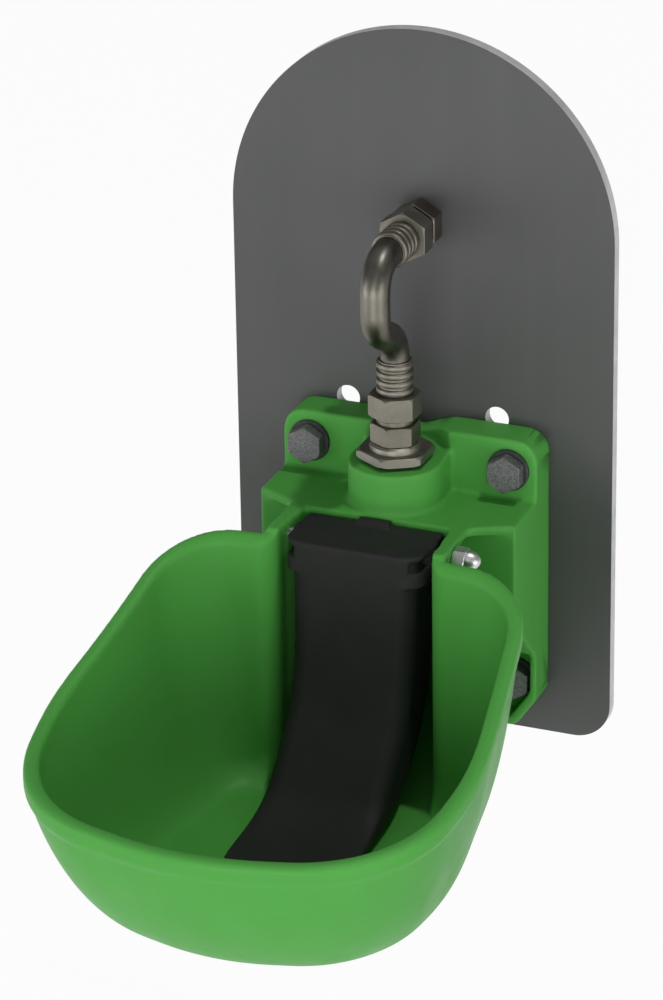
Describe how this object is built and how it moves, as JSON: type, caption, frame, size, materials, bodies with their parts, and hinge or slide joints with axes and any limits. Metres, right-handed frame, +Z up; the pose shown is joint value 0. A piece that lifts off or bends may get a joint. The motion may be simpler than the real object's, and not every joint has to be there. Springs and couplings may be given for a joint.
{
  "type": "livestock drinking bowl",
  "caption": "Wall-mounted livestock drinking bowl with an arched backing plate, a swan-neck water pipe and a tongue that opens a spring-loaded valve when pushed.",
  "frame": {"origin": "middle of the mounting plate's back face, which lies on the wall", "axes": "+X to the right as seen from the front, +Y into the wall, +Z up"},
  "size_m": [0.2716, 0.3936, 0.463],
  "materials": {
    "plate_steel": "dark, satin",
    "green_enamel": "satin enamel on cast iron",
    "bolt_steel": "mottled grey",
    "washer_steel": "dark grey",
    "fitting_metal": "nickel plated, grey-brown",
    "wall_fitting_metal": "dark, tarnished",
    "valve_metal": "machined",
    "stainless_steel": "drawn",
    "bright_zinc": "bright zinc plated",
    "tongue_plastic": "satin moulded",
    "seal_rubber": "matt",
    "seat_plastic": "moulded"
  },
  "bodies": {
    "bowl": {"mounting_plate": "plate_steel", "bowl_casting": "green_enamel", "bolt_upper_left": "bolt_steel", "bolt_upper_right": "bolt_steel", "bolt_lower_left": "bolt_steel", "bolt_lower_right": "bolt_steel", "washer_upper_left": "washer_steel", "washer_upper_right": "washer_steel", "washer_lower_left": "washer_steel", "washer_lower_right": "washer_steel", "valve_body": "valve_metal", "valve_seal": "seal_rubber", "valve_seat": "seat_plastic", "valve_spring": "stainless_steel", "boss_adapter": "fitting_metal", "lower_union_seal": "seal_rubber", "lower_union_nut": "fitting_metal", "lower_ribbed_sleeve": "fitting_metal", "supply_pipe": "fitting_metal", "upper_ribbed_sleeve": "fitting_metal", "upper_union_nut": "fitting_metal", "upper_union_seal": "seal_rubber", "wall_adapter": "wall_fitting_metal", "hinge_pin": "stainless_steel", "dome_nut": "bright_zinc"},
    "tongue": {"tongue": "tongue_plastic"},
    "valve_stem": {"valve_stem": "stainless_steel", "valve_disc": "seal_rubber"}
  },
  "joints": [
    {"name": "tongue_hinge", "type": "hinge", "parent": "bowl", "child": "tongue", "pos_m": [0, -0.105, -0.069], "axis": [1, 0, 0], "range_deg": [0, 2.2], "stiffness_Nm_per_rad": 2, "springref_deg": -8.59},
    {"name": "stem_slide", "type": "slide", "parent": "bowl", "child": "valve_stem", "axis": [0, 0, 1], "range_m": [0, 0.002], "deforming": ["valve_spring"]}
  ],
  "couplings": [
    {"joint": "stem_slide", "follows": "tongue_hinge", "m_per_rad": 0.0515}
  ]
}
